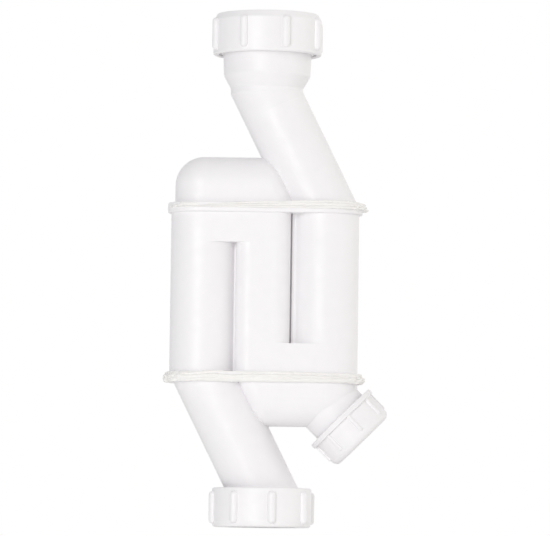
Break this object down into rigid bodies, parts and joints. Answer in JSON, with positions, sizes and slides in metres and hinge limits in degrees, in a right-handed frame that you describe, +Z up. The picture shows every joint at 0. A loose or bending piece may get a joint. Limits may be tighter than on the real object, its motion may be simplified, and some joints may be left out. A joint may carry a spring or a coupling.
{
  "type": "pedestal trap",
  "caption": "In-line white plastic pedestal trap for a washbasin: slanted inlet and outlet pipes, three-channel water seal body, union nuts and a cleaning eye with a screw cap.",
  "frame": {"origin": "centre of the inlet socket's bore at its outer end, 3 mm under the mouth, where the chamfer for the seal begins", "axes": "+Z up along the inlet bore and out of its mouth; +X towards the cleaning eye; the outlet bore is on the same axis, facing -Z"},
  "size_m": [0.122, 0.0602, 0.2791],
  "materials": {
    "white_polypropylene": "satin moulded",
    "black_rubber": "matt",
    "natural_polyethylene": "smooth"
  },
  "bodies": {
    "trap_body": {"upper_moulding": "white_polypropylene", "centre_moulding": "white_polypropylene", "lower_moulding": "white_polypropylene", "upper_weld_bead": "white_polypropylene", "lower_weld_bead": "white_polypropylene", "inlet_seal": "black_rubber", "outlet_seal": "black_rubber"},
    "inlet_washer_carrier": {"inlet_slip_washer": "natural_polyethylene"},
    "inlet_nut_body": {"inlet_nut": "white_polypropylene"},
    "outlet_washer_carrier": {"outlet_slip_washer": "natural_polyethylene"},
    "outlet_nut_body": {"outlet_nut": "white_polypropylene"},
    "eye_washer_carrier": {"cleaning_eye_washer": "black_rubber"},
    "eye_cap_body": {"cleaning_eye_cap": "white_polypropylene"}
  },
  "joints": [
    {"name": "inlet_nut_travel", "type": "slide", "parent": "trap_body", "child": "inlet_washer_carrier", "axis": [0, 0, 1], "range_m": [0, 0.016]},
    {"name": "inlet_nut_turn", "type": "hinge", "parent": "inlet_washer_carrier", "child": "inlet_nut_body", "pos_m": [0, 0, 0], "axis": [0, 0, 1], "range_deg": [0, 1440]},
    {"name": "outlet_nut_travel", "type": "slide", "parent": "trap_body", "child": "outlet_washer_carrier", "axis": [0, 0, -1], "range_m": [0, 0.014]},
    {"name": "outlet_nut_turn", "type": "hinge", "parent": "outlet_washer_carrier", "child": "outlet_nut_body", "pos_m": [0, 0, -0.2609], "axis": [0, 0, -1], "range_deg": [0, 1260]},
    {"name": "eye_cap_travel", "type": "slide", "parent": "trap_body", "child": "eye_washer_carrier", "axis": [0.7071, 0, -0.7071], "range_m": [0, 0.014]},
    {"name": "eye_cap_turn", "type": "hinge", "parent": "eye_washer_carrier", "child": "eye_cap_body", "pos_m": [0.0419, 0, -0.2096], "axis": [0.7071, 0, -0.7071], "range_deg": [0, 1440]}
  ],
  "couplings": [
    {"joint": "inlet_nut_travel", "follows": "inlet_nut_turn", "m_per_rad": 0.00063662},
    {"joint": "outlet_nut_travel", "follows": "outlet_nut_turn", "m_per_rad": 0.00063662},
    {"joint": "eye_cap_travel", "follows": "eye_cap_turn", "m_per_rad": 0.00055704}
  ]
}
